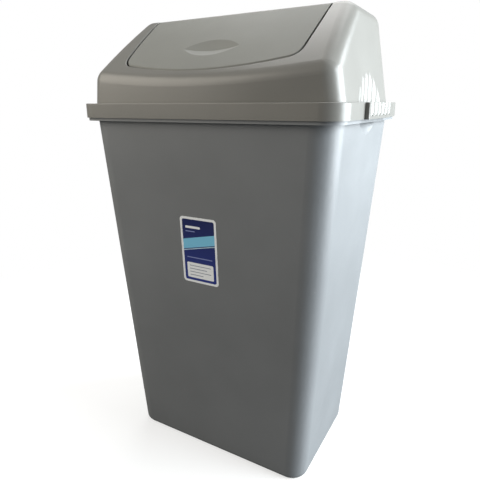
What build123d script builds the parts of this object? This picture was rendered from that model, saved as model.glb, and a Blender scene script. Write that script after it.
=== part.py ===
from build123d import *
import math
import os

# Swing-lid bin: a tapered tub, a lift-off hood, a bent flap that swings in
# the hood, and a label on the front wall.
# Millimetres. X runs across the width, -Y is the front, +Z is up.
# The origin is the middle of the footprint, on the floor.

# Tub, outside sizes
tub_foot_width = 322.0
tub_foot_depth = 210.0
tub_foot_corner = 27.0
tub_neck_width = 396.0
tub_neck_depth = 268.4
tub_neck_corner = 34.0
tub_height = 571.2
tub_wall = 1.8
tub_floor = 3.0
tub_base_fillet = 9.0
foot_recess_depth = 3.0
foot_recess_border = 26.0
foot_recess_corner = 12.0

# Turned-down rim of the tub
rim_reach = 6.9
rim_corner = 27.0
rim_drop = 22.5
rim_edge_fillet = 1.6

# Hand scoops in the side walls of the tub
scoop_depth = 12.0
scoop_height = 22.0
scoop_radius = 95.0

# Hood: skirt around the rim, then the dome
seat_gap = 0.4
rim_gap = 0.6
hood_wall = 2.1
skirt_height = 20.6
skirt_edge_fillet = 1.2
dome_base_width = 396.0
dome_top_width = 354.0
dome_front_y = -138.0
dome_front_bow = 15.0
dome_back_y = 114.0
dome_top_back_y = 104.0
dome_height = 126.2
ridge_y = -15.0
slope_angle = 38.0
slope_bow = 3.0
dome_fillet = 22.0

# Side grips on the skirt, with the reeded hollow above them
grip_width = 114.0
grip_reach = 5.8
grip_edge_fillet = 1.5
flute_count = 6
flute_depth = 1.7
flute_land = 0.8
flute_lip = 3.5
flute_end_radius = 5.0
hollow_depth = 5.0

# Opening for the flap, seen from above
window_width = 291.0
window_front_width = 280.0
window_front_y = -125.6
window_front_bow = 15.5
window_back_y = 78.0
window_front_corner = 18.0
window_back_corner = 20.0
window_flange = 6.0
window_flange_wall = 2.0
window_flange_root = 0.4
window_edge_fillet = 0.8

# Flap
seam_gap = 2.6
flap_sink = 0.5
flap_wall = 2.0
flap_edge_fillet = 0.8
pocket_width = 90.0
pocket_height = 37.0
pocket_below_ridge = 90.5
pocket_ramp_angle = 12.0
pocket_lip_angle = 15.0

# Pivot of the flap
pivot_drop = 14.0
pin_radius = 4.0
pin_clearance = 0.06
pin_reach = 7.0
lug_radius = 9.0
lug_top_half = 22.0
lug_thickness = 3.0
ear_thickness = 3.0

# Label
label_width = 63.0
label_height = 103.5
label_thickness = 0.3
label_corner = 5.0
label_x = -4.0
label_z = 363.7

# Heights and outlines that follow from the sizes above
skirt_top = tub_height + seat_gap + hood_wall
skirt_bottom = skirt_top - skirt_height
hood_top = skirt_top + dome_height
rim_width = tub_neck_width + 2 * rim_reach
rim_depth = tub_neck_depth + 2 * rim_reach
skirt_width = rim_width + 2 * (rim_gap + hood_wall)
skirt_depth = rim_depth + 2 * (rim_gap + hood_wall)
skirt_corner = rim_corner + rim_gap + hood_wall
slope_tan = math.tan(math.radians(slope_angle))
side_lean = math.atan2(dome_base_width - dome_top_width, 2 * dome_height)
grip_half = grip_width / 2
grip_face_x = skirt_width / 2 + grip_reach
flap_side_x = window_width / 2 - seam_gap
flute_pitch = grip_width / flute_count
flute_half = (flute_pitch - flute_land) / 2
flute_radius = (flute_half**2 + flute_depth**2) / (2 * flute_depth)
hollow_radius = (grip_half**2 + hollow_depth**2) / (2 * hollow_depth)
hollow_centre_x = dome_base_width / 2 - hollow_depth + hollow_radius
overcut = 5.0
cut_height = 2 * dome_height


# Slope of the dome seen from the side: a slight outward bow from the ridge to below the front
slope_foot_y = dome_front_y - overcut
slope_foot_z = hood_top - (ridge_y - slope_foot_y) * slope_tan
with BuildLine() as slope_line:
    SagittaArc((slope_foot_y, slope_foot_z), (ridge_y, hood_top), slope_bow)
slope_arc = slope_line.edge()


def dome_form(inset):
    """The dome as a solid, with every face moved in by inset."""
    side_tan = math.tan(side_lean)
    foot_half = dome_base_width / 2 + (skirt_top - skirt_bottom) * side_tan
    top_half = dome_top_width / 2
    back_lean = (dome_back_y - dome_top_back_y) / dome_height
    back_foot_y = dome_back_y + (skirt_top - skirt_bottom) * back_lean
    with BuildPart() as form:
        with BuildSketch(Plane.YZ):
            with BuildLine():
                add(slope_arc)
                Polyline(
                    (ridge_y, hood_top),
                    (dome_top_back_y, hood_top),
                    (back_foot_y, skirt_bottom),
                    (slope_foot_y, skirt_bottom),
                    (slope_foot_y, slope_foot_z),
                )
            make_face()
            offset(amount=-inset, kind=Kind.INTERSECTION)
        extrude(amount=foot_half, both=True)
        with BuildSketch(Plane.XZ):
            with BuildLine():
                Polyline(
                    (-foot_half, skirt_bottom),
                    (-top_half, hood_top),
                    (top_half, hood_top),
                    (foot_half, skirt_bottom),
                    close=True,
                )
            make_face()
            offset(amount=-inset, kind=Kind.INTERSECTION)
        extrude(amount=skirt_depth, both=True, mode=Mode.INTERSECT)
        with BuildSketch(Plane.XY.offset(skirt_bottom)):
            with BuildLine():
                front = ThreePointArc(
                    (-foot_half, dome_front_y + dome_front_bow),
                    (0, dome_front_y),
                    (foot_half, dome_front_y + dome_front_bow),
                )
                Polyline(front @ 1, (foot_half, skirt_depth), (-foot_half, skirt_depth), front @ 0)
            make_face()
            offset(amount=-inset, kind=Kind.INTERSECTION)
        extrude(amount=cut_height, mode=Mode.INTERSECT)
        base = form.edges().group_by(Axis.Z)[0]
        fillet(form.edges() - base, radius=dome_fillet - inset)
    return form.part


def window_outline(gap):
    """The opening seen from above, drawn in by gap on every side."""
    side = window_width / 2 - gap
    front_side = window_front_width / 2 - gap
    front = window_front_y + gap
    back = window_back_y - gap
    with BuildSketch() as outline:
        with BuildLine():
            bow = ThreePointArc(
                (-front_side, front + window_front_bow),
                (0, front),
                (front_side, front + window_front_bow),
            )
            Polyline((side, ridge_y), (side, back), (-side, back), (-side, ridge_y))
            TangentArc((side, ridge_y), bow @ 1, tangent=(0, -1))
            TangentArc((-side, ridge_y), bow @ 0, tangent=(0, -1))
        make_face()
        by_depth = outline.vertices().sort_by(Axis.Y)
        fillet(by_depth[:2], radius=window_front_corner - gap)
        by_depth = outline.vertices().sort_by(Axis.Y)
        fillet(by_depth[-2:], radius=window_back_corner - gap)
    return outline.sketch


def tub_form(inset, base_z, base_fillet):
    """The taper of the tub as a solid from base_z up, walls moved in by inset."""
    with BuildPart() as form:
        for z, width, depth, corner in (
            (0, tub_foot_width, tub_foot_depth, tub_foot_corner),
            (tub_height, tub_neck_width, tub_neck_depth, tub_neck_corner),
        ):
            with BuildSketch(Plane.XY.offset(z)):
                RectangleRounded(width - 2 * inset, depth - 2 * inset, corner - inset)
        loft()
        split(bisect_by=Plane.XY.offset(base_z), keep=Keep.TOP)
        fillet(form.edges().group_by(Axis.Z)[0], radius=base_fillet)
    return form.part


def scoop_form(extra):
    """Leaning cylinders that shape the hand scoops, grown by extra."""
    wall_tan = (tub_neck_width - tub_foot_width) / 2 / tub_height
    mouth_x = tub_neck_width / 2 - (tub_height - skirt_bottom) * wall_tan
    lean = math.atan(scoop_depth / scoop_height - wall_tan)
    with BuildPart() as form:
        for side in (-1, 1):
            floor_line = Plane(
                origin=(side * (mouth_x - scoop_depth), 0, skirt_bottom),
                x_dir=(side * math.cos(lean), 0, math.sin(lean)),
                z_dir=(-side * math.sin(lean), 0, math.cos(lean)),
            )
            with BuildSketch(floor_line):
                with Locations((scoop_radius, 0)):
                    Circle(scoop_radius + extra)
            extrude(amount=scoop_radius, both=True)
    return form.part


def hollow_form(extra, base_z):
    """Upright cylinders that shape the hollows above the grips, grown by extra."""
    with BuildPart() as form:
        with BuildSketch(Plane.XY.offset(base_z)):
            for side in (-1, 1):
                with Locations((side * hollow_centre_x, 0)):
                    Circle(hollow_radius + extra)
        extrude(amount=dome_height)
    return form.part


def surface_outline(edges):
    """Of the edges of an upright cut, the ones that lie on the dome."""
    ridge_lines = edges.filter_by(Axis.X).sort_by(Axis.Y)[:-1]
    return edges - edges.group_by(Axis.Z)[0] - edges.filter_by(Axis.Z) - ridge_lines


def pocket_form(extra):
    """The almond of the push pocket: a long ramp that meets a slightly steeper lip."""
    half_width = pocket_width / 2
    half_height = pocket_height / 2
    arc_radius = (half_width**2 + half_height**2) / (2 * half_height)
    pocket_share = 1 - pocket_below_ridge / slope_arc.length
    middle = slope_arc @ pocket_share
    along = slope_arc % pocket_share
    slope_face = Plane(
        origin=(0, middle.X + flap_sink * along.Y, middle.Y - flap_sink * along.X),
        x_dir=(1, 0, 0),
        z_dir=(0, -along.Y, along.X),
    )
    with BuildPart(slope_face) as form:
        for up, angle, mode in (
            (-1, pocket_ramp_angle, Mode.ADD),
            (1, pocket_lip_angle, Mode.INTERSECT),
        ):
            tilt = math.radians(angle)
            with Locations((0, up * (arc_radius - half_height), arc_radius / math.tan(tilt))):
                Sphere(arc_radius / math.sin(tilt) + extra, mode=mode)
    return form.part


def flute_middles():
    """Middle of each flute across a grip."""
    return [flute_pitch * (index + 0.5) - grip_half for index in range(flute_count)]


def flute_turns():
    """Angle of each flute around the middle of the hollow's arc."""
    half_turn = math.asin(grip_half / hollow_radius)
    return [half_turn * (2 * index + 1 - flute_count) / flute_count for index in range(flute_count)]


def lug_outline():
    """A lug around the pivot that widens upwards, in Y and Z."""
    with BuildSketch() as outline:
        with Locations((pivot_y, pivot_z)):
            Circle(lug_radius)
        with BuildLine():
            Polyline(
                (pivot_y - lug_radius, pivot_z),
                (pivot_y - lug_top_half, hood_top),
                (pivot_y + lug_top_half, hood_top),
                (pivot_y + lug_radius, pivot_z),
                close=True,
            )
        make_face()
    return outline.sketch


os.makedirs("parts", exist_ok=True)

# Tub: a tapered box with hand scoops in its sides and a turned-down rim
tub_outside = tub_form(0, 0, tub_base_fillet)
tub_hollow = tub_form(tub_wall, tub_floor + foot_recess_depth, tub_base_fillet - tub_wall)
scoops_outside = scoop_form(0)
scoops_inside = scoop_form(tub_wall)

with BuildPart() as tub_inside:
    add(tub_hollow)
    add(scoops_inside, mode=Mode.SUBTRACT)

with BuildPart() as tub:
    add(tub_outside)
    add(scoops_outside, mode=Mode.SUBTRACT)
    with BuildSketch(Plane.XY.offset(tub_height)):
        RectangleRounded(rim_width, rim_depth, rim_corner)
    extrude(amount=-tub_wall)
    with BuildSketch(Plane.XY.offset(tub_height)):
        RectangleRounded(rim_width, rim_depth, rim_corner)
        RectangleRounded(
            rim_width - 2 * tub_wall,
            rim_depth - 2 * tub_wall,
            rim_corner - tub_wall,
            mode=Mode.SUBTRACT,
        )
    extrude(amount=-rim_drop)
    fillet(tub.edges().group_by(Axis.Z)[-1], radius=rim_edge_fillet)
    add(tub_inside.part, mode=Mode.SUBTRACT)
    with BuildSketch():
        RectangleRounded(
            tub_foot_width - 2 * foot_recess_border,
            tub_foot_depth - 2 * foot_recess_border,
            foot_recess_corner,
        )
    extrude(amount=foot_recess_depth, mode=Mode.SUBTRACT)
tub.part.label = "tub"
export_step(tub.part, "parts/tub.step")

# Dome, as solids of the sizes that the shells need
dome_outside = dome_form(0)
dome_flange_root = dome_form(hood_wall - window_flange_root)
dome_inside = dome_form(hood_wall)
dome_flange = dome_form(window_flange)
flap_outside = dome_form(flap_sink)
flap_inside = dome_form(flap_sink + flap_wall)
window_shape = window_outline(0)
window_frame_shape = window_outline(-window_flange_wall)
flap_shape = window_outline(seam_gap)

# Flap panel: a skin that follows the slope, the ridge and the flat top
with BuildPart() as panel:
    with BuildSketch(Plane.XY.offset(skirt_top)):
        add(flap_shape)
    extrude(amount=cut_height)
    add(flap_outside, mode=Mode.INTERSECT)
    fillet(surface_outline(panel.edges()), radius=flap_edge_fillet)
    add(flap_inside, mode=Mode.SUBTRACT)

# The pivot sits straight above the middle of the panel's weight
pivot_y = panel.part.center(CenterOf.MASS).Y
pivot_z = hood_top - pivot_drop
lug_shape = lug_outline()

# Lugs on the flap, cut to its surface
with BuildPart() as lugs:
    for side in (-1, 1):
        with BuildSketch(Plane.YZ.offset(side * flap_side_x)):
            add(lug_shape)
        extrude(amount=-side * lug_thickness)
    add(flap_outside, mode=Mode.INTERSECT)

# Push pocket: the hollow to cut, and the skin behind it
pocket = pocket_form(0)
pocket_back = pocket_form(flap_wall)
with BuildPart() as pocket_skin:
    add(pocket_back)
    add(flap_outside, mode=Mode.INTERSECT)

# Flap: the panel with its push pocket, two lugs and their pins
with BuildPart() as swing_flap:
    add(panel.part)
    add(pocket_skin.part)
    add(pocket, mode=Mode.SUBTRACT)
    add(lugs.part)
    for side in (-1, 1):
        with BuildSketch(Plane.YZ.offset(side * flap_side_x)):
            with Locations((pivot_y, pivot_z)):
                Circle(pin_radius)
        extrude(amount=side * pin_reach)
swing_flap.part.label = "swing_flap"
export_step(swing_flap.part, "parts/swing_flap.step")

# Skirt with its two grips, solid
with BuildPart() as skirt:
    with BuildSketch(Plane.XY.offset(skirt_bottom)):
        RectangleRounded(skirt_width, skirt_depth, skirt_corner)
        RectangleRounded(skirt_width + 2 * grip_reach, grip_width, grip_edge_fillet)
    extrude(amount=skirt_height)
    fillet(skirt.edges().group_by(Axis.Z)[-1], radius=skirt_edge_fillet)

# Flutes across the grips, with round lower ends above a plain lip
with BuildPart() as grip_flutes:
    with BuildSketch(Plane.XY.offset(skirt_bottom)):
        for side in (-1, 1):
            for middle_y in flute_middles():
                with Locations((side * (grip_face_x + flute_radius - flute_depth), middle_y)):
                    Circle(flute_radius)
    extrude(amount=skirt_height)
    with BuildSketch(Plane.YZ):
        for middle_y in flute_middles():
            with Locations((middle_y, skirt_bottom + flute_lip + skirt_height)):
                RectangleRounded(flute_pitch - flute_land / 2, 2 * skirt_height, flute_end_radius)
    extrude(amount=skirt_width, both=True, mode=Mode.INTERSECT)

# Flutes that go on up the hollow above each grip and fade into the side
with BuildPart() as hollow_flutes:
    with BuildSketch(Plane.XY.offset(skirt_top)):
        for side in (-1, 1):
            for turn in flute_turns():
                reach = flute_radius - flute_depth - hollow_radius
                flute_x = side * (hollow_centre_x + reach * math.cos(turn))
                with Locations((flute_x, reach * math.sin(turn))):
                    Circle(flute_radius)
    extrude(amount=dome_height)

# Space inside the hood: dome, skirt and grips, less the backs of the hollows
flute_backing = hood_wall + flute_depth
hollows_outside = hollow_form(0, skirt_top)
hollows_inside = hollow_form(flute_backing, skirt_top - hood_wall)
with BuildPart() as hood_inside:
    add(dome_inside)
    add(hollows_inside, mode=Mode.SUBTRACT)
    with BuildSketch(Plane.XY.offset(skirt_bottom)):
        RectangleRounded(
            skirt_width - 2 * hood_wall,
            skirt_depth - 2 * hood_wall,
            skirt_corner - hood_wall,
        )
        Rectangle(2 * (grip_face_x - flute_backing), grip_width - 2 * hood_wall)
    extrude(amount=skirt_height - hood_wall)

# Turned-in edge of the window, with an ear on each side for the pivot
with BuildPart() as below_flange:
    add(dome_flange)
    with BuildSketch(Plane.YZ):
        add(lug_shape)
    extrude(amount=skirt_width, both=True, mode=Mode.SUBTRACT)
with BuildPart() as window_frame:
    with BuildSketch(Plane.XY.offset(skirt_top)):
        add(window_frame_shape)
        add(window_shape, mode=Mode.SUBTRACT)
    extrude(amount=cut_height)
    for side in (-1, 1):
        with BuildSketch(Plane.YZ.offset(side * window_width / 2)):
            add(lug_shape)
        extrude(amount=side * ear_thickness)
    add(dome_flange_root, mode=Mode.INTERSECT)
    add(below_flange.part, mode=Mode.SUBTRACT)

# Hood: one shell, open underneath and at the window
with BuildPart() as lid_hood:
    add(dome_outside)
    with BuildSketch(Plane.XY.offset(skirt_top)):
        add(window_shape)
    extrude(amount=cut_height, mode=Mode.SUBTRACT)
    fillet(surface_outline(lid_hood.edges(Select.LAST)), radius=window_edge_fillet)
    add(hollows_outside, mode=Mode.SUBTRACT)
    add(hollow_flutes.part, mode=Mode.SUBTRACT)
    add(skirt.part)
    add(grip_flutes.part, mode=Mode.SUBTRACT)
    add(hood_inside.part, mode=Mode.SUBTRACT)
    add(window_frame.part)
    with BuildSketch(Plane.YZ):
        with Locations((pivot_y, pivot_z)):
            Circle(pin_radius + pin_clearance)
    extrude(amount=flap_side_x + pin_reach + overcut, both=True, mode=Mode.SUBTRACT)
lid_hood.part.label = "lid_hood"
export_step(lid_hood.part, "parts/lid_hood.step")

# Label: a thin sticker flat against the front wall of the tub
front_lean = math.atan2((tub_neck_depth - tub_foot_depth) / 2, tub_height)
label_face = Plane(
    origin=(label_x, -tub_foot_depth / 2 - label_z * math.tan(front_lean), label_z),
    x_dir=(1, 0, 0),
    z_dir=(0, -math.cos(front_lean), -math.sin(front_lean)),
)
with BuildPart() as front_label:
    with BuildSketch(label_face):
        RectangleRounded(label_width, label_height, label_corner)
    extrude(amount=label_thickness)
front_label.part.label = "front_label"
export_step(front_label.part, "parts/front_label.step")

print("pivot of the flap at y", round(pivot_y, 3), "z", round(pivot_z, 3))
print("middle of the flap's weight", swing_flap.part.center(CenterOf.MASS))
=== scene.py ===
import math

import bpy
from mathutils import Euler, Matrix, Vector


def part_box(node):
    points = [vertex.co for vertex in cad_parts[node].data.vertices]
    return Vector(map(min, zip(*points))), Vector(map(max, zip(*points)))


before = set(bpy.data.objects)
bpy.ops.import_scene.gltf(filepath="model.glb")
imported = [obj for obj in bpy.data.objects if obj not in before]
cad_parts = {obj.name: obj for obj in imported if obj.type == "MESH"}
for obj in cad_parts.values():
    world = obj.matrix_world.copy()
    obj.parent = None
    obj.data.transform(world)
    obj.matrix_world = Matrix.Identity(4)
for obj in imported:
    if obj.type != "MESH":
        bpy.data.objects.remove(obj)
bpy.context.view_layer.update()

MM = 0.001

# Sockets of the Mix node when it mixes colours
MIX_FIRST, MIX_SECOND, MIX_RESULT = 6, 7, 2


def linear(*rgb):
    """A colour given in 0-255 screen values, as scene-linear RGBA by the sRGB curve."""
    values = [c / 255 for c in rgb]
    return tuple(v / 12.92 if v <= 0.04045 else ((v + 0.055) / 1.055) ** 2.4 for v in values) + (1.0,)


def tint(colour, factor, lift=0.0):
    """A darker or lighter version of a colour."""
    return [min(1.0, c * factor + lift) for c in colour[:3]] + [1.0]


class Graph:
    """Short calls that build one material's nodes."""

    def __init__(self, name):
        self.material = bpy.data.materials.new(name)
        self.material.use_nodes = True
        self.tree = self.material.node_tree
        self.tree.nodes.clear()
        self.output = self.tree.nodes.new("ShaderNodeOutputMaterial")

    def node(self, kind, inputs=(), **settings):
        made = self.tree.nodes.new("ShaderNode" + kind)
        for key, value in settings.items():
            setattr(made, key, value)
        for key, value in dict(inputs).items():
            self.feed(made.inputs[key], value)
        return made

    def feed(self, socket, value):
        if isinstance(value, bpy.types.NodeSocket):
            self.tree.links.new(value, socket)
        elif isinstance(value, bpy.types.Node):
            self.tree.links.new(value.outputs[0], socket)
        else:
            socket.default_value = value

    def math(self, operation, *values, clamp=False):
        made = self.node("Math", dict(enumerate(values)), operation=operation, use_clamp=clamp)
        return made.outputs[0]

    def times(self, first, second):
        return self.math("MULTIPLY", first, second)

    def mapping(self, scale=(1, 1, 1), rotation=(0, 0, 0)):
        place = self.node("TexCoord").outputs["Object"]
        inputs = {"Vector": place, "Scale": scale, "Rotation": rotation}
        return self.node("Mapping", inputs).outputs[0]

    def noise(self, scale, detail=2.0, rough=0.5, vector=None):
        inputs = {"Scale": scale, "Detail": detail, "Roughness": rough}
        inputs["Vector"] = vector if vector is not None else self.mapping()
        return self.node("TexNoise", inputs).outputs[0]

    def remap(self, value, low, high, to_low=0.0, to_high=1.0, smooth=False):
        kind = "SMOOTHSTEP" if smooth else "LINEAR"
        inputs = {"Value": value, "From Min": low, "From Max": high, "To Min": to_low, "To Max": to_high}
        return self.node("MapRange", inputs, interpolation_type=kind, clamp=True).outputs[0]

    def mix(self, amount, first, second):
        made = self.node("Mix", data_type="RGBA")
        self.feed(made.inputs["Factor"], amount)
        self.feed(made.inputs[MIX_FIRST], first)
        self.feed(made.inputs[MIX_SECOND], second)
        return made.outputs[MIX_RESULT]

    def bump(self, height, distance, normal=None):
        inputs = {"Height": height, "Distance": distance, "Strength": 1.0}
        if normal is not None:
            inputs["Normal"] = normal
        return self.node("Bump", inputs).outputs[0]

    def edges(self, radius, sharpest, flattest):
        """0 on plain faces, up to 1 along outer edges, by how far a rounded edge would turn."""
        soft = self.node("Bevel", {"Radius": radius}, samples=6).outputs[0]
        true = self.node("NewGeometry").outputs["Normal"]
        turn = self.node("VectorMath", {0: soft, 1: true}, operation="DOT_PRODUCT").outputs["Value"]
        return self.remap(turn, flattest, sharpest)

    def seams(self, reach, closed, open_):
        """Mask for painted shade: 1 deep in narrow gaps and 0 on open faces."""
        sky = self.node("AmbientOcclusion", {"Distance": reach}, samples=8).outputs["AO"]
        return self.remap(sky, closed, open_, to_low=1.0, to_high=0.0)

    def shade(self, shader):
        self.feed(self.output.inputs["Surface"], shader)
        return self.material


def plastic(name, colour, gloss, grain, wave, dust, worn_share, marks):
    """Moulded plastic with colour drift, uneven gloss, fine grain, scuffs, paler worn edges and painted
    shade darkening the seams.

    gloss is the roughness. grain and wave are bump heights in metres. dust, worn_share and marks
    say how much of the motes, of the worn edges and of the scuffs shows, from 0 to 1.
    """
    g = Graph(name)
    worn = tint(colour, 1.22, lift=0.01)

    # Colour: slow clouds with a fine speckle
    cloud = g.noise(scale=5.5, detail=3.0, rough=0.55)
    speckle = g.noise(scale=900.0, detail=2.0, rough=0.6)
    speckle_share = 0.25
    tone = g.math("ADD", g.times(cloud, 1 - speckle_share), g.times(speckle, speckle_share))
    base = g.mix(g.remap(tone, low=0.36, high=0.64), tint(colour, 0.93), tint(colour, 1.06))

    # Edges rubbed paler, more in some places than in others
    rub = g.remap(g.noise(scale=60.0, detail=4.0, rough=0.6), low=0.35, high=0.65, to_low=0.35)
    edge = g.times(g.edges(radius=1.6 * MM, sharpest=0.93, flattest=0.995), rub)
    base = g.mix(g.times(edge, worn_share), base, worn)

    # Fine scuffs in patches, drawn out along one slanting direction
    scuff_place = g.mapping(scale=(1.0, 0.07, 1.0), rotation=(0.5, 0.9, 0.35))
    scuff = g.remap(g.noise(scale=420.0, detail=2.0, rough=0.6, vector=scuff_place), low=0.68, high=0.76)
    scuff = g.times(scuff, g.remap(g.noise(scale=4.2), low=0.47, high=0.62))
    scuff_colour, scuff_roughness = 0.06 * marks, 0.12 * marks
    base = g.mix(g.times(scuff, scuff_colour), base, worn)

    # Motes of dust on the faces, and painted shade in the seams
    mote = g.remap(g.noise(scale=420.0, detail=1.0), low=0.80, high=0.84)
    base = g.mix(g.times(mote, dust), base, linear(214, 212, 205))
    seam_shade_share = 0.7
    # Painted shade: the colour turns much darker deep in narrow gaps and seams, standing in for the shade
    # that falls there
    seam_shade = g.times(g.seams(reach=7 * MM, closed=0.25, open_=0.62), seam_shade_share)
    base = g.mix(seam_shade, base, tint(colour, 0.35))

    # Gloss: hazy clouds, and duller where scuffed or rubbed
    haze = 0.04 * marks
    edge_roughness = 0.08
    cloudy = g.noise(scale=14.0, detail=4.0, rough=0.6)
    rough = g.remap(cloudy, low=0.3, high=0.7, to_low=gloss - haze, to_high=gloss + haze)
    rough = g.math("ADD", rough, g.times(scuff, scuff_roughness))
    rough = g.math("ADD", rough, g.times(edge, edge_roughness), clamp=True)

    # Surface: long moulding waves, orange peel and the mould's grain
    peel_share = 0.6
    waves = g.bump(g.noise(scale=9.0), wave)
    peel = g.bump(g.noise(scale=260.0), grain * peel_share, waves)
    fine = g.bump(g.noise(scale=1500.0, detail=3.0, rough=0.6), grain, peel)
    shader = g.node("BsdfPrincipled", {"Base Color": base, "Roughness": rough, "Normal": fine, "IOR": 1.49})
    return g.shade(shader)


def label_print(name, middle, width, height):
    """A generic sticker: white edge, navy field, slanted pale blue stripe, plain rules, white panel.

    middle, width and height are in metres, and the places of the motifs in millimetres.
    """
    g = Graph(name)
    place = g.node("SeparateXYZ", {"Vector": g.node("TexCoord").outputs["Object"]})
    across = g.math("SUBTRACT", place.outputs[0], middle[0])
    up = g.math("SUBTRACT", place.outputs[2], middle[2])
    sharp = 0.12

    def block(left, right, low, high, corner=0.0, blur=sharp):
        """1 inside a rectangle with round corners, measured from the label's middle."""
        centre_x, centre_z = (left + right) / 2 * MM, (low + high) / 2 * MM
        half_x, half_z = (right - left) / 2 - corner, (high - low) / 2 - corner
        dx = g.math("SUBTRACT", g.math("ABSOLUTE", g.math("SUBTRACT", across, centre_x)), half_x * MM)
        dz = g.math("SUBTRACT", g.math("ABSOLUTE", g.math("SUBTRACT", up, centre_z)), half_z * MM)
        out_x, out_z = g.math("MAXIMUM", dx, 0.0), g.math("MAXIMUM", dz, 0.0)
        outer = g.math("SQRT", g.math("ADD", g.times(out_x, out_x), g.times(out_z, out_z)))
        inner = g.math("MINIMUM", g.math("MAXIMUM", dx, dz), 0.0)
        away = g.math("SUBTRACT", g.math("ADD", outer, inner), corner * MM)
        return g.remap(away, -blur * MM, blur * MM, to_low=1.0, to_high=0.0)

    def inset_block(inset, corner, blur=sharp):
        """1 inside the label's own outline, drawn in by inset."""
        half_width, half_height = width / 2 / MM - inset, height / 2 / MM - inset
        return block(-half_width, half_width, -half_height, half_height, corner, blur)

    stripe_rise = 0.22
    slanted = g.math("SUBTRACT", up, g.times(across, stripe_rise))
    white = linear(250, 252, 254)
    faint = linear(140, 150, 200)
    grey = linear(128, 134, 156)
    navy = g.mix(g.remap(up, -height / 2, height / 2), linear(48, 62, 140), linear(24, 34, 84))
    print_grain = g.remap(g.noise(scale=2600.0, detail=1.0), low=0.3, high=0.7, to_high=0.12)
    navy = g.mix(print_grain, navy, linear(60, 74, 140))
    field = inset_block(inset=3.5, corner=3.0)
    colour = g.mix(field, white, navy)

    def stripe(low, high):
        """1 between two slanted lines, inside the navy field."""
        above = g.remap(slanted, (low - sharp) * MM, (low + sharp) * MM)
        below = g.remap(slanted, (high - sharp) * MM, (high + sharp) * MM, to_low=1.0, to_high=0.0)
        return g.times(field, g.times(above, below))

    colour = g.mix(stripe(7.0, 22.5), colour, linear(132, 204, 236))
    colour = g.mix(stripe(4.5, 5.6), colour, linear(206, 232, 246))
    motifs = [
        (white, block(-22.5, 3.5, 34.5, 38.0, corner=1.2)),
        (faint, block(-22.5, -6.0, 29.0, 30.4, corner=0.6)),
        (faint, block(-22.5, 22.5, -11.8, -10.4, corner=0.6)),
        (white, block(-23.5, 23.5, -44.0, -19.5, corner=2.0)),
    ]
    line_width = 1.0
    for line_top, line_end in ((-24.0, 19.0), (-29.0, 12.0), (-34.0, 19.0), (-39.0, 5.0)):
        motifs.append((grey, block(-19.0, line_end, line_top - line_width, line_top, corner=0.4)))
    for ink, shape in motifs:
        colour = g.mix(shape, colour, ink)

    # The border is rubbed dull here and there, and the film is slightly wrinkled
    rub = g.remap(g.noise(scale=70.0, detail=4.0, rough=0.6), low=0.58, high=0.74)
    rub_share = 0.6
    border = g.math("SUBTRACT", 1.0, inset_block(inset=1.2, corner=4.0, blur=0.8))
    colour = g.mix(g.times(border, g.times(rub, rub_share)), colour, linear(176, 172, 160))
    film = g.noise(scale=40.0, detail=3.0, rough=0.6)
    rough = g.remap(film, low=0.3, high=0.7, to_low=0.28, to_high=0.42)
    wrinkle = g.bump(g.noise(scale=45.0), distance=0.22 * MM)
    inputs = {"Base Color": colour, "Roughness": rough, "Normal": wrinkle, "IOR": 1.5}
    return g.shade(g.node("BsdfPrincipled", inputs))


def wear(node_name, material):
    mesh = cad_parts[node_name].data
    mesh.materials.clear()
    mesh.materials.append(material)


wear(
    "tub",
    plastic(
        "tub_plastic",
        linear(125, 127, 129),
        gloss=0.44,
        grain=0.03 * MM,
        wave=0.5 * MM,
        dust=0.2,
        worn_share=0.5,
        marks=1.0,
    ),
)
wear(
    "lid_hood",
    plastic(
        "hood_plastic",
        linear(126, 124, 119),
        gloss=0.33,
        grain=0.006 * MM,
        wave=0.2 * MM,
        dust=0.04,
        worn_share=0.3,
        marks=0.4,
    ),
)
wear(
    "swing_flap",
    plastic(
        "flap_plastic",
        linear(134, 134, 129),
        gloss=0.60,
        grain=0.05 * MM,
        wave=0.3 * MM,
        dust=0.12,
        worn_share=0.5,
        marks=1.0,
    ),
)
label_low, label_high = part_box("front_label")
label_size = label_high - label_low
wear(
    "front_label",
    label_print("label_film", (label_low + label_high) / 2, label_size.x, label_size.z),
)

# Floor: a disc that is grey to the lamps and white to the eye, with the object's soft shadow kept
floor_radius = 9.0
floor_sides = 96
shadow_radius, white_radius = 0.45, 1.1
rim = []
for step in range(floor_sides):
    angle = math.tau * step / floor_sides
    rim.append((floor_radius * math.cos(angle), floor_radius * math.sin(angle), 0.0))
floor_mesh = bpy.data.meshes.new("floor")
floor_mesh.from_pydata(rim, [], [tuple(range(floor_sides))])
floor = bpy.data.objects.new("floor", floor_mesh)
bpy.context.scene.collection.objects.link(floor)
g = Graph("floor_paint")
rays = g.node("LightPath")
seen = g.math("MAXIMUM", rays.outputs["Is Camera Ray"], rays.outputs["Is Transmission Ray"])
plain = g.node("BsdfDiffuse", {"Color": linear(84, 84, 84)})
bright = g.node("BsdfDiffuse", {"Color": linear(176, 176, 176)})
glow = g.node("Emission", {"Color": (1, 1, 1, 1), "Strength": 0.60})
lit = g.node("AddShader", {0: bright.outputs[0], 1: glow.outputs[0]})
white = g.node("Emission", {"Color": (1, 1, 1, 1), "Strength": 1.0})
away = g.node("VectorMath", {0: g.node("NewGeometry").outputs["Position"]}, operation="LENGTH")
far = g.remap(away.outputs["Value"], shadow_radius, white_radius, smooth=True)
paper = g.node("MixShader", {0: far, 1: lit.outputs[0], 2: white.outputs[0]})
g.shade(g.node("MixShader", {0: seen, 1: plain.outputs[0], 2: paper.outputs[0]}).outputs[0])
floor_mesh.materials.append(g.material)

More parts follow.
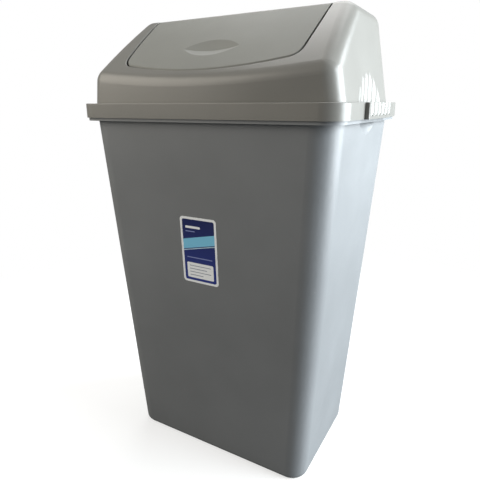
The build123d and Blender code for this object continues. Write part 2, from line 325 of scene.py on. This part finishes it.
# World: soft even light with a trace of blue, white to the eye
world = bpy.data.worlds.new("studio")
bpy.context.scene.world = world
world.use_nodes = True
tree = world.node_tree
tree.nodes.clear()
rays = tree.nodes.new("ShaderNodeLightPath")
ambient = tree.nodes.new("ShaderNodeBackground")
ambient.inputs["Color"].default_value = (0.91, 0.96, 1.0, 1.0)
ambient.inputs["Strength"].default_value = 0.30
backdrop = tree.nodes.new("ShaderNodeBackground")
backdrop.inputs["Color"].default_value = (1.0, 1.0, 1.0, 1.0)
backdrop.inputs["Strength"].default_value = 1.0
choose = tree.nodes.new("ShaderNodeMixShader")
sheet = tree.nodes.new("ShaderNodeOutputWorld")
tree.links.new(rays.outputs["Is Camera Ray"], choose.inputs[0])
tree.links.new(ambient.outputs[0], choose.inputs[1])
tree.links.new(backdrop.outputs[0], choose.inputs[2])
tree.links.new(choose.outputs[0], sheet.inputs["Surface"])


def lamp(name, place, aim, width, height, power, colour):
    """A rectangular lamp at place that points at aim, in metres and watts."""
    data = bpy.data.lights.new(name, "AREA")
    data.shape = "RECTANGLE"
    data.size, data.size_y = width, height
    data.energy = power
    data.color = colour
    made = bpy.data.objects.new(name, data)
    made.location = place
    made.rotation_euler = (Vector(aim) - Vector(place)).to_track_quat("-Z", "Y").to_euler()
    bpy.context.scene.collection.objects.link(made)


lamp(
    "window_right",
    place=(2.05, 0.90, 0.75),
    aim=(0.1, 0.0, 0.28),
    width=2.2,
    height=2.3,
    power=248.0,
    colour=(0.89, 0.96, 1.0),
)
lamp(
    "top_soft",
    place=(-0.3, 1.1, 2.2),
    aim=(0.0, 0.0, 0.6),
    width=1.7,
    height=1.2,
    power=25.0,
    colour=(1.0, 1.0, 0.99),
)
lamp(
    "card_left",
    place=(-1.35, -1.25, 1.35),
    aim=(0.0, -0.1, 0.6),
    width=1.7,
    height=1.5,
    power=30.0,
    colour=(1.0, 0.94, 0.83),
)

# Camera at the photograph's place: it looks a little down and to the left
camera_place = (0.36332, -0.63825, 0.57216)
camera_tilt, camera_turn, camera_roll = (math.radians(angle) for angle in (73.45, 30.0, -0.21))
camera_data = bpy.data.cameras.new("camera")
camera_data.lens = 33.69
camera_data.sensor_width = 36.0
camera_data.shift_x = -0.00104
camera_data.shift_y = -0.0052
camera_data.clip_start = 0.01
camera = bpy.data.objects.new("camera", camera_data)
camera.location = camera_place
aimed = Euler((camera_tilt, 0.0, camera_turn)).to_matrix()
camera.rotation_euler = (aimed @ Matrix.Rotation(camera_roll, 3, "Z")).to_euler()
bpy.context.scene.collection.objects.link(camera)
bpy.context.scene.camera = camera
bpy.context.scene.view_settings.view_transform = "Standard"
